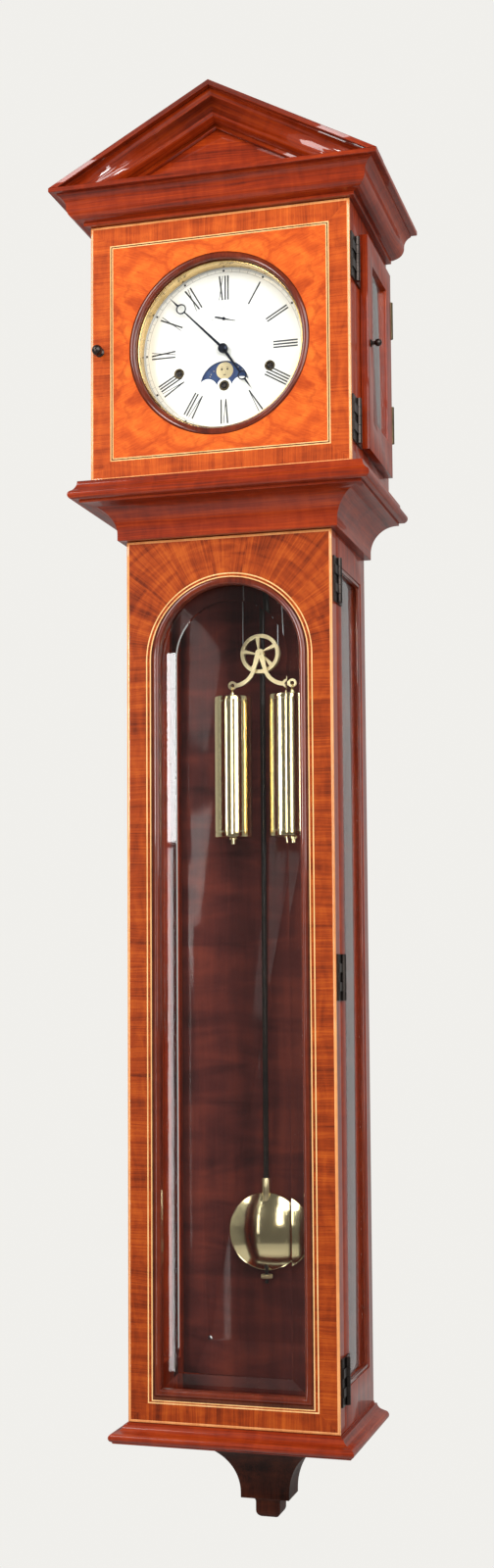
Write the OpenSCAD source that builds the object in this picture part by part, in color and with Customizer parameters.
// Wall-hung regulator clock: glazed trunk, square hood with pediment, twin weights on one pulley.
// Millimetres, +Z up. The origin is the hanging hole in the wall plane y = 0, and the front faces -Y.

/* [Case] */
// Width of the trunk
trunk_w = 225; // [215:1:270]
// Depth of the trunk, from the wall to the front of its door
trunk_d = 174; // [160:1:205]
// Height of the trunk door
trunk_h = 930; // [780:1:1120]
// Width of the hood
hood_w = 284; // [275:1:345]
// Depth of the hood, from the wall to the front of its door
hood_d = 207; // [205:1:248]
// Height of the hood, floor to cornice
hood_h = 280; // [270:1:336]
// Height of the waist moulding between trunk and hood
waist_h = 60; // [58:1:72]
// Height of the hanging hole below the top of the hood
hang_drop = 30; // [25:1:40]
// Rise of the pediment above the cornice
pediment_rise = 96; // [70:1:115]
// Thickness of the side boards
side_t = 12; // [10:0.5:14]
// Thickness of the backboard
back_t = 10; // [8:0.5:12]
// Thickness of the hood floor, top and trunk bottom boards
board_t = 12; // [10:0.5:14]
// Thickness of the two front doors
door_t = 21.5; // [18:0.5:24]
// Gap between a door and what it closes on
door_gap = 0.5; // [0.4:0.1:1]

/* [Trunk door] */
// Width of the stile from the door's edge to the opening
trunk_stile = 28.5; // [24:0.5:34]
// Height of the bottom rail below the opening
trunk_rail = 28; // [24:0.5:40]
// Distance from the top of the door to the top of the arch
arch_drop = 45; // [40:1:60]
// Width of the rounded bead round the glass
bead_w = 7.5; // [6:0.5:9]
// Thickness of the door glass
glass_t = 5; // [4:0.5:6]

/* [Side windows] */
// Stile of the trunk side at the front edge of its window
window_front = 25; // [20:1:30]
// Stile of the trunk side at the rear edge of its window
window_rear = 22; // [18:1:28]
// Rail of the trunk side below its window
window_rail = 40; // [30:1:50]
// Width of the glazing bead
glazing_w = 4; // [3:0.5:6]
// Thickness of the side panes
pane_t = 3; // [2:0.5:4]

/* [Hood doors] */
// Radius of the round opening in the hood door
hood_hole_r = 98.5; // [92:0.5:104]
// Radial width of the bezel's wooden bead
ring_w = 7.5; // [6:0.5:9]
// Radial wall of the brass bezel
bezel_w = 2.2; // [1.5:0.1:3]
// Thickness of the lipped side doors
lip_t = 8.5; // [7:0.5:10]
// Width of the side door's stiles and rails
lip_stile = 26; // [22:1:30]
// Height of the side door's bottom edge above the hood floor
lip_rise = 26; // [20:1:32]
// Distance of the side door's top edge below the top of the hood
lip_drop = 22; // [18:1:28]

/* [Dial and movement] */
// Height of the dial centre above the hood floor
dial_rise = 139; // [134:1:168]
// Radius of the dial
dial_r = 101; // [98:0.5:106]
// Distance of the seconds arbor above the dial centre
seconds_up = 33.6; // [30:0.1:36]
// Distance of the pallet arbor and the suspension above the dial centre
susp_up = 58; // [55:0.5:64]
// Distance of the centre winding arbor below the dial centre
wind_down = 39.2; // [37:0.1:44]
// Sideways place of the two outer winding arbors
wind_side = 50; // [48:0.5:54]
// Distance of the two outer winding arbors below the dial centre
wind_low = 22; // [18:0.5:26]
// Pitch radius of the cable drum
drum_r = 14; // [13:0.5:16]

/* [Pendulum and weights] */
// Height of the bob's centre above the bottom of the trunk
bob_rise = 182; // [170:1:220]
// Radius of the bob
bob_r = 42.5; // [36:0.5:50]
// Thickness of the bob at its centre
bob_t = 20; // [14:0.5:22]
// Radius of the pendulum rod
rod_r = 3; // [2.5:0.1:3.5]
// Radius of each weight
weight_r = 21; // [18:0.5:24]
// Height of each weight
weight_h = 157; // [130:1:180]
// Sideways distance from the pulley to each weight
weight_side = 31; // [29:0.5:36]
// Height of the pulley's centre below the hood floor
pulley_drop = 170; // [160:1:200]
// Pitch radius of the pulley
pulley_r = 20; // [18:0.5:22]
// Radius of the cable
cable_r = 0.6; // [0.5:0.1:0.8]

/* [Fittings] */
// Height of the front door hinges
hinge_h = 48; // [40:1:54]
// Width of one leaf of a front door hinge
leaf_w = 20; // [16:0.5:24]
// Height of the side door hinges
lip_hinge_h = 42; // [36:1:48]
// Radius of the hanging hole
hang_r = 4.5; // [4:0.25:6]
// Radius of the two steadying screw holes
steady_r = 2.5; // [2:0.25:3]
// Radial running clearance of pins and arbors
run_gap = 0.05; // [0.03:0.01:0.08]

/* [Hidden] */
$fn = 96;
far = 400;                                   // half extent of the cutting blocks

// Heights
hood_top = hang_drop;
hood_bot = hood_top - hood_h;
trunk_top = hood_bot - waist_h;
trunk_bot = trunk_top - trunk_h;
base_h = 20;
case_bot = trunk_bot - base_h;
cornice_h = 35;
cornice_top = hood_top + cornice_h;
dial_z = hood_bot + dial_rise;
susp_z = dial_z + susp_up;
seconds_z = dial_z + seconds_up;
wind_z = dial_z - wind_down;
bob_z = trunk_bot + bob_rise;
pulley_z = hood_bot - pulley_drop;

// Plan
trunk_x = trunk_w / 2;
hood_x = hood_w / 2;
trunk_back = -(trunk_d - door_t);            // rear face of the trunk door
hood_back = -(hood_d - door_t);              // rear face of the hood door
trunk_front = trunk_back + door_gap;         // front edge of the trunk sides
hood_front = hood_back + door_gap;           // front edge of the hood sides
cornice_reach = 36;
waist_k = (hood_x - trunk_x) / 29.5;         // the waist moulding spreads with the hood
waist_reach = 50.5 * waist_k;
base_reach = 17;

// Depths of the clockwork
dial_y = hood_back + 4;                      // rear face of the dial
dial_t = 1.5;
dial_front = dial_y - dial_t;
plate_t = 3;
front_plate_y = -150;
back_plate_y = -46;
pend_y = -(back_t + 6 + bob_t / 2);
cable_y = -58;
pulley_x = pulley_r - drum_r;
yoke_y = cable_y - 6.5;
weight_top = pulley_z - 48;
eye_z = weight_top + 13;

// Hinges
pin_r = 1.2;
knuckle_r = 3;
leaf_t = 2;
hinge_off = knuckle_r + 0.4;                 // from a board's face to the hinge's axis
lip_rear = -24;                              // rear edge of the side doors
lip_front = lip_rear - 132;
lip_axis_x = hood_x + 0.4 + lip_t - 1.4;
lip_axis_y = lip_rear + 4.5;
lip_bot = hood_bot + lip_rise;
lip_top = hood_top - lip_drop;
hood_hinge_z = [hood_bot + 24, hood_top - 83];
trunk_hinge_z = [trunk_bot + 27, trunk_bot + trunk_h * 0.47, trunk_top - 76];
lip_hinge_z = [lip_bot + 40, lip_top - 72];
catch_z = [trunk_top - 139, trunk_bot + 136];
knob_z = hood_bot + 141;

// Points of an arc from angle a to angle b
function arc(cx, cy, r, a, b, n = 10) =
  [for (i = [0:n]) [cx + r * cos(a + (b - a) * i / n), cy + r * sin(a + (b - a) * i / n)]];

// Moulding profiles as [projection, height], with the inner edge at -inner
function waist_curve() = concat(
  [[8, 0]],
  arc(38, 7, 30, 180, 90),
  [[40.5, 37], [40.5, 39.5]],
  arc(45.5, 44.5, 5, -90, 60, 8),
  arc(56, 60, 14, 225, 180, 6),
  [[38, waist_h]]);
function waist_profile(inner) = concat(
  [[-inner, 0]],
  [for (p = waist_curve()) [p[0] * waist_k, p[1]]],
  [[-inner, waist_h]]);
function base_profile(inner) = concat(
  [[-inner, -base_h], [13.5, -base_h], [13.5, 1.5 - base_h]],
  arc(12.5, 6 - base_h, 4.5, -70, 80, 8),
  arc(11.5, -0.5, 8, 250, 190, 6),
  [[2.2, -1.9], [1, -1.9], [1, 0], [-inner, 0]]);
function cornice_profile(inner) = concat(
  [[-inner, 0], [6, 0], [6, 3.5], [8, 3.5]],
  arc(9, 16.5, 12, -70, 5, 8),
  arc(33, 17.5, 12, 180, 110, 8),
  [[29, 30], [cornice_reach, 30], [cornice_reach, cornice_h], [-inner, cornice_h]]);
function bracket_profile() = concat(
  [[74, 0], [74, -16]],
  arc(74, -78, 62, 90, 180, 14),
  [[12, -83], [5.5, -83]],
  arc(5.5, -90, 7, 90, 180, 6),
  arc(-9.5, -98.5, 8, 0, -90, 8));

module board(x0, x1, y0, y1, z0, z1) {
  translate([x0, y0, z0]) cube([x1 - x0, y1 - y0, z1 - z0]);
}

// A cylinder along Y from y0 to y1
module rod_y(x, z, r, y0, y1) {
  translate([x, y1, z]) rotate([90, 0, 0]) cylinder(r = r, h = y1 - y0);
}

// A cylinder along X from x0 to x1
module rod_x(y, z, r, x0, x1) {
  translate([x0, y, z]) rotate([0, 90, 0]) cylinder(r = r, h = x1 - x0);
}

module left_and_right() {
  children();
  mirror([1, 0, 0]) children();
}

// Front length of a mitred moulding that goes round a box of half width hx and depth d
module moulding_front(profile, hx, d, inner, reach, z) {
  plan = [[-hx, inner - d], [hx, inner - d], [hx, -d], [hx + reach, -d - reach],
          [-hx - reach, -d - reach], [-hx, -d]];
  intersection() {
    translate([-far, -d, z]) rotate([90, 0, 90]) linear_extrude(2 * far)
      polygon([for (p = profile) [-p[0], p[1]]]);
    translate([0, 0, -4 * far]) linear_extrude(8 * far) polygon(plan);
  }
}

// Right return of the same moulding, back to the wall
module moulding_return(profile, hx, d, inner_x, inner_y, reach, z) {
  plan = [[hx - inner_x, 0], [hx + reach, 0], [hx + reach, -d - reach], [hx, -d],
          [hx, inner_y - d], [hx - inner_x, inner_y - d]];
  intersection() {
    translate([hx, 0, z]) rotate([90, 0, 0]) linear_extrude(far) polygon(profile);
    translate([0, 0, -4 * far]) linear_extrude(8 * far) polygon(plan);
  }
}

// Flat outline of a round-topped opening in the XZ plane
module arch_shape(hx, z0, ztop) {
  translate([-hx, z0]) square([2 * hx, ztop - hx - z0]);
  translate([0, ztop - hx]) circle(r = hx);
}

// An outline drawn in X and Z, given depth from y0 to y1
module slab(y0, y1) {
  translate([0, y1, 0]) rotate([90, 0, 0]) linear_extrude(y1 - y0) children();
}

// One side of a butt hinge laid on a face at x, with its knuckles on an axis at y
module hinge_side(x, y, z, h, width, dir, off, fixed) {
  step = h / 5;
  y0 = dir > 0 ? y + knuckle_r + 0.3 : y - width;
  y1 = dir > 0 ? y + width : y - knuckle_r - 0.3;
  difference() {
    union() {
      board(x + 0.02, x + leaf_t, y0, y1, z, z + h);
      for (i = fixed ? [0, 2, 4] : [1, 3]) {
        translate([x + off, y, z + i * step + 0.15]) cylinder(r = knuckle_r, h = step - 0.3);
        board(x + off - 2.6, x + off, dir > 0 ? y : y0, dir > 0 ? y0 + 1 : y,
              z + i * step + 0.15, z + (i + 1) * step - 0.15);
      }
      if (fixed) translate([x + off, y, z]) cylinder(r = pin_r, h = h);
    }
    if (!fixed) translate([x + off, y, z - 1]) cylinder(r = pin_r + run_gap, h = h + 2);
  }
}

// ---------------------------------------------------------------- case

module backboard() {
  inner_t = trunk_x - side_t;
  inner_h = hood_x - side_t;
  color("#5a2e2a") difference() {
    slab(-back_t, 0) {
      translate([-inner_t, case_bot + board_t]) square([2 * inner_t, hood_bot - case_bot - board_t]);
      translate([-inner_h, hood_bot + 0.01]) square([2 * inner_h, hood_h - board_t - 0.02]);
    }
    rod_y(0, 0, 9, -back_t - 1, 1);
    board(-20.1, 20.1, -3.1, 1, -14.1, 18.1);
    for (s = [-1, 1]) rod_y(s * 70, trunk_bot + 60, steady_r, -back_t - 1, 1);
  }
}

module hanger_plate() {
  color("#8a7a4a") difference() {
    board(-20, 20, -3, 0, -14, 18);
    rod_y(0, 0, hang_r, -4, 1);
    for (s = [-1, 1]) rod_y(s * 14, 12, 1.8, -4, 1);
  }
}

module trunk_side() {
  difference() {
    board(trunk_x - side_t, trunk_x, trunk_front, 0, case_bot, hood_bot - board_t);
    board(trunk_x - side_t - 1, trunk_x + 1, trunk_back + window_front, -window_rear,
          trunk_bot + window_rail, trunk_top - 32);
  }
}

module trunk_side_left() {
  color("#8a3a1c") difference() {
    mirror([1, 0, 0]) trunk_side();
    for (z = catch_z) rod_x(trunk_front + 8, z, 1.5 + run_gap, -trunk_x - 1, 1);
  }
}

module trunk_side_right() {
  color("#8a3a1c") trunk_side();
}

module trunk_side_glass() {
  color("#dfe8e4") left_and_right()
    board(trunk_x - side_t / 2 - pane_t / 2, trunk_x - side_t / 2 + pane_t / 2,
          trunk_back + window_front + 0.2, -window_rear - 0.2,
          trunk_bot + window_rail + 0.2, trunk_top - 32.2);
}

module trunk_glazing_beads() {
  z0 = trunk_bot + window_rail + 0.1;
  z1 = trunk_top - 32.1;
  y0 = trunk_back + window_front + 0.1;
  y1 = -window_rear - 0.1;
  color("#6e2a18") left_and_right() difference() {
    board(trunk_x - side_t / 2 + pane_t / 2 + 0.05, trunk_x - 0.8, y0, y1, z0, z1);
    board(trunk_x - side_t, trunk_x + 1, y0 + glazing_w, y1 - glazing_w, z0 + glazing_w, z1 - glazing_w);
  }
}

module bottom_board() {
  color("#6e2a18") board(-trunk_x + side_t, trunk_x - side_t, trunk_front, 0, case_bot, case_bot + board_t);
}

module base_moulding() {
  inner = trunk_d + trunk_front;
  color("#a0431c") {
    moulding_front(base_profile(inner), trunk_x, trunk_d, inner, base_reach, trunk_bot);
    left_and_right() moulding_return(base_profile(0), trunk_x, trunk_d, 0, 0, base_reach, trunk_bot);
  }
}

module bottom_bracket() {
  half = bracket_profile();
  n = len(half);
  front = concat([for (p = half) [15 + p[0], p[1]]], [for (i = [n - 1:-1:0]) [-15 - half[i][0], half[i][1]]]);
  side = concat([[0, 0]], [for (p = half) [-30 - p[0], p[1]]], [[0, half[n - 1][1]]]);
  color("#5c2313") translate([0, 0, case_bot]) intersection() {
    rotate([90, 0, 0]) linear_extrude(far) polygon(front);
    translate([-far, 0, 0]) rotate([90, 0, 90]) linear_extrude(2 * far) polygon(side);
  }
}

module waist_moulding() {
  inner = trunk_d + trunk_front;
  color("#a0431c") {
    moulding_front(waist_profile(inner), trunk_x, trunk_d, inner, waist_reach, trunk_top);
    left_and_right() moulding_return(waist_profile(0), trunk_x, trunk_d, 0, 0, waist_reach, trunk_top);
  }
}

// The floor, open behind its front rail for the pendulum and the weights, and the top board
module hood_boards() {
  color("#6e2a18") {
    difference() {
      board(-trunk_x, trunk_x, trunk_front, 0, hood_bot - board_t, hood_bot);
      board(-trunk_x + side_t, trunk_x - side_t, trunk_front + 24, 1, hood_bot - board_t - 1, hood_bot + 1);
    }
    board(-hood_x + side_t, hood_x - side_t, hood_front, 0, hood_top - board_t, hood_top);
  }
}

module hood_side() {
  difference() {
    board(hood_x - side_t, hood_x, hood_front, 0, hood_bot, hood_top);
    board(hood_x - side_t - 1, hood_x + 1, lip_front + 10, lip_rear - 10, lip_bot + 10, lip_top - 10);
  }
}

module hood_side_left() {
  color("#8a3a1c") mirror([1, 0, 0]) hood_side();
}

module hood_side_right() {
  color("#8a3a1c") hood_side();
}

module cornice() {
  inner = hood_d + hood_front;
  color("#a0431c") {
    moulding_front(cornice_profile(inner), hood_x, hood_d, inner, cornice_reach, hood_top + 0.02);
    left_and_right()
      moulding_return(cornice_profile(inner), hood_x, hood_d, inner, inner, cornice_reach, hood_top + 0.02);
  }
}

// The pediment's right slope: a length running down from the apex, clipped to the cornice
rake = atan(pediment_rise / (hood_x + cornice_reach));
module raked(y0, y1, drop, thick) {
  intersection() {
    translate([0, 0, cornice_top + pediment_rise]) rotate([0, rake, 0])
      translate([-far / 2, y0, -drop - thick]) cube([2 * far, y1 - y0, thick]);
    board(0, hood_x + cornice_reach, -far, 0, cornice_top + 0.04, far);
  }
}

module raking_cornice() {
  profile = cornice_profile(0);
  color("#a0431c") left_and_right() intersection() {
    translate([0, 0, cornice_top + pediment_rise]) rotate([0, rake, 0])
      translate([-far / 2, -hood_d, -cornice_h]) rotate([90, 0, 90]) linear_extrude(2 * far)
      polygon([for (p = profile) [-p[0], p[1]]]);
    board(0.02, hood_x + cornice_reach, -far, 0, cornice_top + 0.04, far);
  }
}

module tympanum() {
  top = cornice_top + pediment_rise - cornice_h / cos(rake) - 0.1;
  reach = (top - cornice_top) / tan(rake);
  color("#7c2a14") slab(-hood_d, -hood_d + 8)
    polygon([[-reach, cornice_top + 0.1], [reach, cornice_top + 0.1], [0, top]]);
}

module roof_boards() {
  color("#6e2a18") left_and_right() intersection() {
    raked(-hood_d + 0.02, 0, 0, 9);
    board(0.02, far, -far, 0, -far, far);
  }
}

module case_hinge_leaves() {
  color("#2b2723") {
    for (z = hood_hinge_z)
      hinge_side(hood_x, hood_front - door_gap / 2, z, hinge_h, leaf_w + 4, 1, hinge_off, true);
    for (z = trunk_hinge_z)
      hinge_side(trunk_x, trunk_front - door_gap / 2, z, hinge_h, leaf_w, 1, hinge_off, true);
  }
}

module side_hinge_fixed() {
  step = lip_hinge_h / 5;
  for (z = lip_hinge_z) {
    board(hood_x + 0.02, hood_x + 1.5, lip_axis_y + 3.3, -4, z, z + lip_hinge_h);
    translate([lip_axis_x, lip_axis_y, z]) cylinder(r = pin_r, h = lip_hinge_h);
    for (i = [0, 2, 4]) {
      translate([lip_axis_x, lip_axis_y, z + i * step + 0.15]) cylinder(r = knuckle_r, h = step - 0.3);
      board(hood_x + 0.02, lip_axis_x, lip_axis_y + 1.2, lip_axis_y + 3.4,
            z + i * step + 0.15, z + (i + 1) * step - 0.15);
    }
  }
}

module side_hinge_leaves() {
  color("#8f7c52") left_and_right() side_hinge_fixed();
}

// ---------------------------------------------------------------- movement, fixed parts

plate_x = 76;
plate_z0 = dial_z - 70;
plate_z1 = dial_z + 68;

module movement_bracket() {
  arm_x = plate_x - 12;
  color("#3d3a38") for (s = [-1, 1]) {
    board(s * arm_x - 5, s * arm_x + 5, back_plate_y + plate_t + 0.02, -back_t - 4, dial_z - 60, dial_z - 44);
    board(s * arm_x - 9, s * arm_x + 9, -back_t - 4.01, -back_t, dial_z - 70, dial_z - 30);
  }
  // The post that the cable's fixed end hooks onto
  color("#3d3a38") rod_y(pulley_x + pulley_r, plate_z0 + 8, 2.2, back_plate_y - 18, back_plate_y);
}

module arbor_holes(y0, y1) {
  rod_y(0, dial_z, 2 + run_gap, y0, y1);
  rod_y(0, seconds_z, 1 + run_gap, y0, y1);
  rod_y(0, susp_z, 1.5 + run_gap, y0, y1);
  rod_y(0, wind_z, 3 + run_gap, y0, y1);
  for (s = [-1, 1]) rod_y(s * wind_side, dial_z - wind_low, 3 + run_gap, y0, y1);
  rod_y(-plate_x + 10, dial_z + 30, 2 + run_gap, y0, y1);
}

module movement_frame() {
  color("#c9a85a") {
    difference() {
      union() for (y = [front_plate_y, back_plate_y])
        board(-plate_x, plate_x, y, y + plate_t, plate_z0, plate_z1);
      arbor_holes(front_plate_y - 1, back_plate_y + plate_t + 1);
    }
    for (x = [-plate_x + 8, plate_x - 8]) for (z = [plate_z0 + 8, plate_z1 - 8])
      rod_y(x, z, 4, front_plate_y + plate_t, back_plate_y);
  }
}

module suspension_cock() {
  y0 = pend_y - 6;
  color("#c9a85a") difference() {
    union() {
      board(-9, 9, y0, -back_t, susp_z + 1, susp_z + 11);
      board(-14, 14, -back_t - 4, -back_t, susp_z - 12, susp_z + 20);
    }
    board(-0.9, 0.9, y0 - 1, pend_y + 6, susp_z, susp_z + 12);
  }
}

moon_z = wind_z;
moon_r = 28.5;
module dial() {
  color("#f4f2ea") {
    difference() {
      rod_y(0, dial_z, dial_r, dial_front, dial_y);
      rod_y(0, dial_z, 4.2, dial_front - 1, dial_y + 1);
      rod_y(0, seconds_z, 1.8, dial_front - 1, dial_y + 1);
      for (s = [-1, 1]) rod_y(s * wind_side, dial_z - wind_low, 4.5, dial_front - 1, dial_y + 1);
      difference() {
        rod_y(0, moon_z, moon_r - 1.5, dial_front - 1, dial_y + 1);
        board(-far, far, dial_front - 2, dial_y + 2, -far * 2, moon_z - 0.5);
        for (s = [-1, 1]) rod_y(s * 18.5, moon_z - 2, 10.5, dial_front - 2, dial_y + 2);
        rod_y(0, moon_z, 8, dial_front - 2, dial_y + 2);
      }
      rod_y(0, moon_z, 4.5, dial_front - 1, dial_y + 1);
    }
    for (a = [90, 210, 330])
      rod_y(70 * cos(a) * 0.9, dial_z + 62 * sin(a), 2.5, dial_y, front_plate_y);
  }
}

// Gong block on the backboard with five rods hanging from it, left of the movement
gong_x = -hood_x + side_t + 30;
gong_step = 8;
module chime_gong() {
  color("#4a4744") {
    board(gong_x - 20, gong_x + 20, -back_t - 24, -back_t, hood_top - board_t - 34, hood_top - board_t - 14);
    for (i = [0:4]) translate([gong_x + (i - 2) * gong_step, -back_t - 16, hood_top - board_t - 184 - i * 8])
      cylinder(r = 1.8, h = 156 + i * 8);
  }
}

// ---------------------------------------------------------------- hood door

module hood_door_frame() {
  color("#d8642a") difference() {
    board(-hood_x, hood_x, -hood_d, hood_back, hood_bot + door_gap, hood_top - door_gap);
    rod_y(0, dial_z, hood_hole_r, -hood_d - 1, hood_back + 1);
    rod_y(-hood_x + 10.3, knob_z, 1.5, -hood_d - 1, -hood_d + 10);
  }
}

module hood_door_bead() {
  color("#7c1f14") difference() {
    rod_y(0, dial_z, hood_hole_r - 0.1, -hood_d - 1.5, hood_back - 6);
    rod_y(0, dial_z, hood_hole_r - ring_w, -hood_d - 2, hood_back + 1);
  }
}

module bezel_ring() {
  r = hood_hole_r - ring_w - 0.1;
  color("#d9b45f") difference() {
    rod_y(0, dial_z, r, -hood_d + 4, hood_back - 0.5);
    rod_y(0, dial_z, r - bezel_w, -hood_d, hood_back + 1);
  }
}

module hood_glass() {
  color("#e6efec") rod_y(0, dial_z, hood_hole_r - ring_w - bezel_w - 0.2, -hood_d + 7, -hood_d + 10);
}

module hood_door_leaves() {
  color("#2b2723") for (z = hood_hinge_z)
    hinge_side(hood_x, hood_front - door_gap / 2, z, hinge_h, leaf_w, -1, hinge_off, false);
}

module hood_door_knob() {
  x = -hood_x + 10.3;
  color("#2b2723") translate([x, -hood_d, knob_z]) rotate([90, 0, 0]) rotate_extrude()
    polygon(concat([[0, -9], [1.45, -9], [1.45, 0.02], [5, 0.02], [5, 1.4], [2.4, 2.4], [2.2, 5]],
                   arc(0, 9.5, 5.6, -55, 90, 10)));
}

// ---------------------------------------------------------------- trunk door

open_x = trunk_x - trunk_stile - bead_w;     // half width of the frame's own opening is this plus the bead
open_bot = trunk_bot + trunk_rail;
open_top = trunk_top - arch_drop;
module trunk_door_frame() {
  color("#b84a1e") difference() {
    board(-trunk_x, trunk_x, -trunk_d, trunk_back, trunk_bot + door_gap, trunk_top - door_gap);
    slab(-trunk_d - 1, trunk_back + 1) arch_shape(open_x + bead_w, open_bot, open_top);
    for (z = catch_z)
      board(-trunk_x + side_t - 1, -trunk_x + side_t + 4, trunk_back - 7, trunk_back + 1, z - 4, z + 13);
  }
}

module trunk_door_bead() {
  color("#7c1f14") slab(-trunk_d - 1.5, -trunk_d + 9) difference() {
    arch_shape(open_x + bead_w - 0.1, open_bot + 0.1, open_top - 0.1);
    arch_shape(open_x, open_bot + bead_w, open_top - bead_w);
  }
}

module trunk_glass() {
  color("#e6efec") slab(-trunk_d + 9.1, -trunk_d + 9.1 + glass_t)
    arch_shape(open_x + bead_w - 0.3, open_bot + 0.3, open_top - 0.3);
}

module trunk_door_leaves() {
  color("#2b2723") for (z = trunk_hinge_z)
    hinge_side(trunk_x, trunk_front - door_gap / 2, z, hinge_h, leaf_w - 3, -1, hinge_off, false);
}

// A turn catch through the trunk's left side; at a quarter turn its tongue enters the door
module trunk_catch(z) {
  color("#2b2723") {
    rod_x(trunk_front + 8, z, 1.5, -trunk_x - 1, -trunk_x + side_t + 3);
    rod_x(trunk_front + 8, z, 2.6, -trunk_x - 5, -trunk_x - 0.3);
    board(-trunk_x + side_t + 0.5, -trunk_x + side_t + 3, trunk_front + 5.5, trunk_front + 10.5,
          z - 2.5, z + 13);
  }
}

module trunk_catch_upper() {
  trunk_catch(catch_z[0]);
}

module trunk_catch_lower() {
  trunk_catch(catch_z[1]);
}

// ---------------------------------------------------------------- hood side doors

module side_door() {
  x = hood_x + 0.4;
  difference() {
    board(x, x + lip_t, lip_front, lip_rear, lip_bot, lip_top);
    board(x - 1, x + lip_t + 1, lip_front + lip_stile, lip_rear - lip_stile,
          lip_bot + lip_stile + 10, lip_top - lip_stile);
    rod_x(lip_front + 12, knob_z + 2, 1.5, x + 1, x + lip_t + 1);
  }
}

module side_glass() {
  x = hood_x + 0.4 + lip_t / 2;
  board(x - pane_t / 2, x + pane_t / 2, lip_front + lip_stile + 0.2, lip_rear - lip_stile - 0.2,
        lip_bot + lip_stile + 10.2, lip_top - lip_stile - 0.2);
}

module side_fittings() {
  step = lip_hinge_h / 5;
  x = hood_x + 0.4 + lip_t;
  difference() {
    union() for (z = lip_hinge_z) {
      board(hood_x + 1, lip_axis_x + 1, lip_rear + 0.02, lip_rear + 1.2, z, z + lip_hinge_h);
      for (i = [1, 3]) {
        translate([lip_axis_x, lip_axis_y, z + i * step + 0.15]) cylinder(r = knuckle_r, h = step - 0.3);
        board(lip_axis_x - 2.6, lip_axis_x, lip_rear + 1, lip_axis_y,
              z + i * step + 0.15, z + (i + 1) * step - 0.15);
      }
    }
    for (z = lip_hinge_z)
      translate([lip_axis_x, lip_axis_y, z - 1]) cylinder(r = pin_r + run_gap, h = lip_hinge_h + 2);
  }
  translate([x, lip_front + 12, knob_z + 2]) rotate([0, 90, 0]) rotate_extrude()
    polygon(concat([[0, -7], [1.45, -7], [1.45, 0.02], [4, 0.02], [4, 1.2], [1.9, 2.2], [1.9, 4.5]],
                   arc(0, 8, 4, -60, 90, 10)));
}

module side_door_right() {
  color("#8a3a1c") side_door();
}

module side_door_left() {
  color("#8a3a1c") mirror([1, 0, 0]) side_door();
}

module side_glass_right() {
  color("#dfe8e4") side_glass();
}

module side_glass_left() {
  color("#dfe8e4") mirror([1, 0, 0]) side_glass();
}

module side_fittings_right() {
  color("#8f7c52") side_fittings();
}

module side_fittings_left() {
  color("#8f7c52") mirror([1, 0, 0]) side_fittings();
}

// ---------------------------------------------------------------- hands and train

minute_turn = 315.6;
hour_turn = 146.3;
seconds_turn = 105;
minute_l = 84;
hour_l = 56;
seconds_l = 13.5;

// A hand with an open ring near its tip, drawn pointing up and turned clockwise
module ring_hand(length, ring_at, ring_r, root_w, turn, x, z, y0, y1) {
  translate([x, 0, z]) rotate([0, turn, 0]) slab(y0, y1) difference() {
    union() {
      polygon([[-root_w, 0], [root_w, 0], [root_w * 0.5, ring_at - ring_r],
               [-root_w * 0.5, ring_at - ring_r]]);
      translate([0, ring_at]) circle(r = ring_r);
      polygon([[-1.2, ring_at + ring_r - 0.6], [1.2, ring_at + ring_r - 0.6], [0.15, length],
               [-0.15, length]]);
    }
    translate([0, ring_at]) circle(r = ring_r - 1.3);
  }
}

hour_y = dial_front - 3.3;
minute_y = dial_front - 5.5;
module minute_hand() {
  color("#1d2230") {
    ring_hand(minute_l, 66, 5.6, 1.5, minute_turn, 0, dial_z, minute_y, minute_y + 0.8);
    rod_y(0, dial_z, 5.2, minute_y - 0.8, minute_y + 0.8);
    rod_y(0, dial_z, 3, minute_y - 3, minute_y - 0.7);
  }
}

// Centre arbor with its wheel, which the minute hand sits on
module center_wheel() {
  color("#c9a85a") {
    rod_y(0, dial_z, 2, minute_y + 0.82, back_plate_y + plate_t);
    difference() {
      rod_y(0, dial_z, 22, -100, -98);
      for (a = [0:72:288]) rod_y(12.5 * cos(a), dial_z + 12.5 * sin(a), 5, -101, -97);
    }
    rod_y(0, dial_z, 5.5, -96, -84);
  }
}

module hour_hand() {
  color("#1d2230") difference() {
    union() {
      ring_hand(hour_l, 37, 5, 1.7, hour_turn, 0, dial_z, hour_y, hour_y + 0.8);
      rod_y(0, dial_z, 5, hour_y, hour_y + 0.8);
      rod_y(0, dial_z, 3.5, hour_y, front_plate_y - 8);
      rod_y(0, dial_z, 15, front_plate_y - 8, front_plate_y - 6);
    }
    rod_y(0, dial_z, 2.1, hour_y - 1, front_plate_y - 5);
  }
}

module seconds_hand() {
  y0 = dial_front - 1.3;
  color("#1d2230") {
    translate([0, 0, seconds_z]) rotate([0, seconds_turn, 0]) slab(y0, y0 + 0.5) {
      polygon([[-0.65, 0], [0.65, 0], [0.3, seconds_l], [-0.3, seconds_l]]);
      translate([-0.8, -10]) square([1.6, 10]);
    }
    rod_y(0, seconds_z, 1.6, y0 - 0.3, y0 + 0.5);
    rod_y(0, seconds_z, 0.8, y0, dial_y + 4);
  }
}

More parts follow.
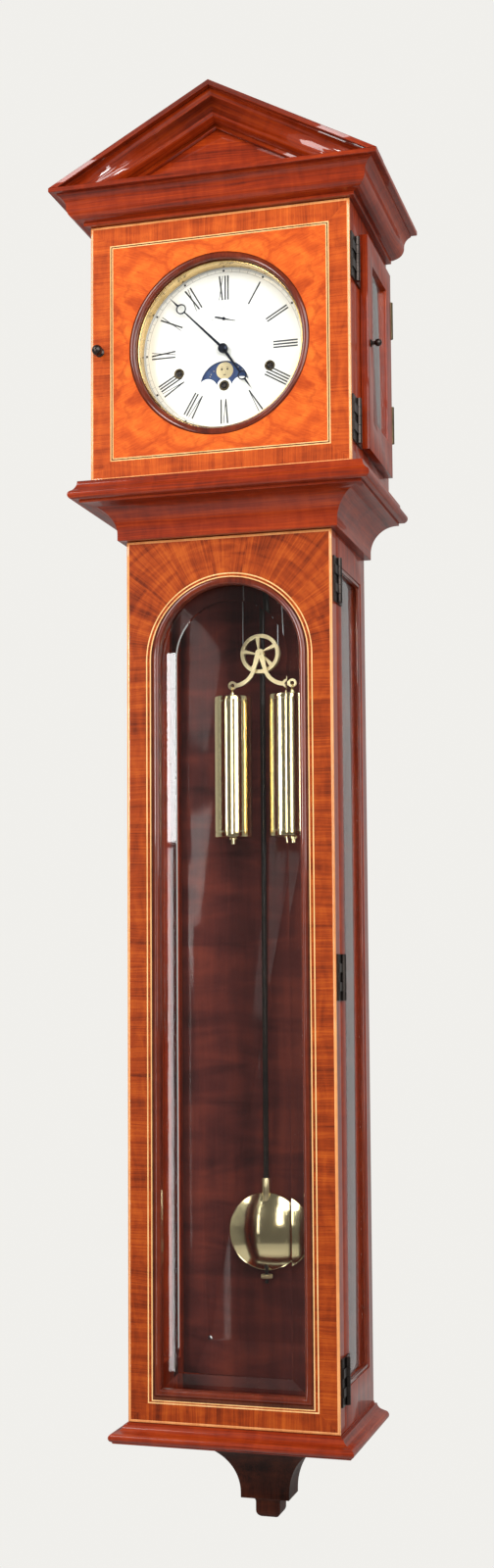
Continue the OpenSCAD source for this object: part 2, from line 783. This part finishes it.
module escape_wheel() {
  color("#c9a85a") {
    rod_y(0, seconds_z, 1, dial_y + 4.02, back_plate_y + plate_t);
    slab(-66, -64.5) translate([0, seconds_z]) difference() {
      union() {
        circle(r = 13.5);
        for (i = [0:29]) rotate(i * 12) polygon([[12.9, -0.9], [15.6, -0.9], [12.9, 0.9]]);
      }
      for (a = [0:60:300]) rotate(a) translate([7.5, 0]) circle(r = 2.9);
    }
  }
}

module moon_disc() {
  color("#1e2f5c") difference() {
    union() {
      rod_y(0, moon_z, moon_r, dial_y + 0.6, dial_y + 1.4);
      rod_y(0, moon_z, 6, dial_y + 1.3, dial_y + 4);
    }
    rod_y(0, moon_z, 4.2, dial_y, dial_y + 5);
  }
}

module pallet_anchor() {
  crutch_y = back_plate_y + plate_t + 1.5;
  color("#8d8f92") {
    rod_y(0, susp_z, 1.5, front_plate_y, crutch_y + 2);
    slab(-66, -64.5) translate([0, susp_z]) {
      circle(r = 4);
      for (s = [-1, 1]) polygon([[0, 3], [s * 3, 3], [s * 16, -11], [s * 14, -14.5], [0, -3]]);
    }
    board(-1.5, 1.5, crutch_y, crutch_y + 2, susp_z - 78, susp_z);
    board(-rod_r - 3.4, rod_r + 3.4, crutch_y, crutch_y + 2, susp_z - 80, susp_z - 75);
    for (s = [-1, 1]) board(s * (rod_r + 1.9) - 1.5, s * (rod_r + 1.9) + 1.5,
                            crutch_y, pend_y + 3, susp_z - 80, susp_z - 75);
  }
}

// Wooden rod with its suspension spring above and the threaded end below
module pendulum_rod() {
  color("#1e1512") {
    board(-0.2, 0.2, pend_y - 3.8, pend_y + 3.8, susp_z - 12, susp_z + 8);
    difference() {
      translate([0, pend_y, bob_z - bob_r - 14]) cylinder(r = rod_r, h = susp_z - 6 - bob_z + bob_r + 14);
      difference() {
        translate([0, pend_y, bob_z - bob_r - 16]) cylinder(r = rod_r + 1, h = 18);
        translate([0, pend_y, bob_z - bob_r - 17]) cylinder(r = 2, h = 20);
      }
      board(-0.2, 0.2, pend_y - 3.8, pend_y + 3.8, susp_z - 12, susp_z);
    }
  }
}

module pendulum_bob() {
  sphere_r = (bob_r * bob_r + bob_t * bob_t / 4) / bob_t;
  off = sphere_r - bob_t / 2;
  color("#d9b45f") difference() {
    intersection() {
      translate([0, pend_y - off, bob_z]) sphere(r = sphere_r, $fn = 400);
      translate([0, pend_y + off, bob_z]) sphere(r = sphere_r, $fn = 400);
    }
    translate([0, pend_y, bob_z - bob_r - 1]) cylinder(r = rod_r + 0.1, h = 2 * bob_r + 2);
  }
}

module rating_nut() {
  color("#d9b45f") difference() {
    translate([0, pend_y, bob_z - bob_r - 9]) cylinder(r = 6.5, h = 5);
    translate([0, pend_y, bob_z - bob_r - 10]) cylinder(r = 2 + run_gap, h = 8);
  }
}

module winding_square(x, z, y0, y1) {
  translate([x, 0, z]) board(-1.9, 1.9, y0, y1, -1.9, 1.9);
}

module time_drum() {
  color("#c9a85a") {
    rod_y(0, wind_z, 3, dial_y - 0.5, back_plate_y + plate_t);
    winding_square(0, wind_z, dial_front - 0.5, dial_y - 0.4);
    rod_y(0, wind_z, drum_r - cable_r - 0.1, cable_y - 7, cable_y + 7);
    for (y = [cable_y - 9, cable_y + 7]) rod_y(0, wind_z, drum_r + 3, y, y + 2);
    rod_y(0, wind_z, 30, cable_y - 13, cable_y - 11);
  }
}

module spring_barrel(s) {
  x = s * wind_side;
  z = dial_z - wind_low;
  color("#c9a85a") {
    rod_y(x, z, 3, dial_y - 0.5, back_plate_y + plate_t);
    winding_square(x, z, dial_front - 0.5, dial_y - 0.4);
    rod_y(x, z, 23, -140, -112);
    rod_y(x, z, 25, -111.99, -109);
  }
}

module strike_barrel() {
  spring_barrel(-1);
}

module chime_barrel() {
  spring_barrel(1);
}

// Hammer arbor with five hammers that swing against the gong rods
module hammers() {
  ax = -plate_x + 10;
  az = dial_z + 30;
  color("#6b5a3a") {
    rod_y(ax, az, 2, front_plate_y, back_plate_y + plate_t + 8);
    board(ax - 8, ax + 2, back_plate_y + plate_t + 2, back_plate_y + plate_t + 7, az - 2.5, az + 2.5);
    board(ax - 8, ax - 5, back_plate_y + plate_t + 2, back_plate_y + plate_t + 7, az - 2.5, az + 26);
    rod_x(back_plate_y + plate_t + 4.5, az + 24, 4, ax - 16, ax - 4);
  }
}

// ---------------------------------------------------------------- weights

module weight_yoke() {
  arm = weight_side;
  color("#cdb06a") {
    difference() {
      slab(yoke_y, yoke_y + 2.5) translate([pulley_x, 0]) {
        translate([0, pulley_z]) circle(r = 4.6);
        for (s = [-1, 1]) {
          polygon([[s * 4.4, pulley_z], [s * 8.5, pulley_z - 17], [s * 3.9, pulley_z - 17],
                   [0, pulley_z - 6], [0, pulley_z]]);
          intersection() {
            difference() {
              translate([s * arm * 0.93, pulley_z - 12]) circle(r = 25.5);
              translate([s * arm * 0.93, pulley_z - 12]) circle(r = 21);
            }
            polygon([[0, pulley_z - 16], [s * arm, pulley_z - 16],
                     [s * arm, pulley_z - 60], [0, pulley_z - 60]]);
          }
          translate([s * arm, eye_z]) circle(r = 4.8);
        }
      }
      for (s = [-1, 1]) rod_y(pulley_x + s * arm, eye_z, 2.3, yoke_y - 1, yoke_y + 4);
    }
    rod_y(pulley_x, pulley_z, 2, yoke_y - 0.8, cable_y + 5);
    rod_y(pulley_x, pulley_z, 3.4, cable_y + 4.6, cable_y + 6);
  }
}

module drive_weights() {
  y = yoke_y + 1.25;
  color("#d9b45f") for (s = [-1, 1]) translate([pulley_x + s * weight_side, y, 0]) {
    translate([0, 0, weight_top - weight_h]) cylinder(r = weight_r, h = weight_h);
    translate([0, 0, weight_top - weight_h - 2]) cylinder(r = 4.5, h = 2.01);
    translate([0, 0, weight_top - weight_h - 7]) cylinder(r = 2.5, h = 5.01);
    translate([0, 0, weight_top - 0.01]) cylinder(r = 2.2, h = 5);
    translate([0, 0, weight_top + 4.9]) cylinder(r = 1.2, h = 2);
    translate([0, 0, eye_z - 3.3]) rotate([0, 90, 0]) rotate_extrude() translate([3.3, 0]) circle(r = 0.8);
  }
}

module pulley_wheel() {
  r = pulley_r + 2.2;
  color("#cdb06a") difference() {
    union() {
      rod_y(pulley_x, pulley_z, pulley_r - cable_r - 0.1, cable_y - 2.5, cable_y + 2.5);
      for (y = [cable_y - 3.2, cable_y + 1.2]) rod_y(pulley_x, pulley_z, r, y, y + 2);
      rod_y(pulley_x, pulley_z, 4, cable_y - 3.7, cable_y + 4);
    }
    rod_y(pulley_x, pulley_z, 2 + run_gap, cable_y - 6, cable_y + 6);
    slab(cable_y - 5, cable_y + 5) translate([pulley_x, pulley_z]) for (i = [0:4]) rotate(i * 72 + 30)
      intersection() {
        difference() {
          circle(r = pulley_r - 2.2);
          circle(r = 5.4);
        }
        polygon([[3.2, 1.4], [30, 1.4], [30, 29], [17, 29], [1, 3.4]]);
      }
  }
}

// The two straight falls of the cable, from the drum and from its fixed post
module weight_cable() {
  color("#8d8f92") {
    translate([-drum_r, cable_y, pulley_z]) cylinder(r = cable_r, h = wind_z - pulley_z);
    translate([pulley_x + pulley_r, cable_y, pulley_z]) cylinder(r = cable_r, h = plate_z0 + 5.7 - pulley_z);
  }
}

backboard();
trunk_side_left();
trunk_side_right();
trunk_side_glass();
trunk_glazing_beads();
bottom_board();
base_moulding();
bottom_bracket();
waist_moulding();
hood_boards();
hood_side_left();
hood_side_right();
cornice();
raking_cornice();
tympanum();
roof_boards();
hanger_plate();
case_hinge_leaves();
side_hinge_leaves();
movement_bracket();
movement_frame();
suspension_cock();
dial();
chime_gong();
hood_door_frame();
hood_door_bead();
bezel_ring();
hood_glass();
hood_door_leaves();
hood_door_knob();
trunk_door_frame();
trunk_door_bead();
trunk_glass();
trunk_door_leaves();
trunk_catch_upper();
trunk_catch_lower();
side_door_left();
side_door_right();
side_glass_left();
side_glass_right();
side_fittings_left();
side_fittings_right();
minute_hand();
center_wheel();
hour_hand();
seconds_hand();
escape_wheel();
moon_disc();
pallet_anchor();
pendulum_rod();
pendulum_bob();
rating_nut();
time_drum();
strike_barrel();
chime_barrel();
hammers();
weight_yoke();
drive_weights();
pulley_wheel();
weight_cable();
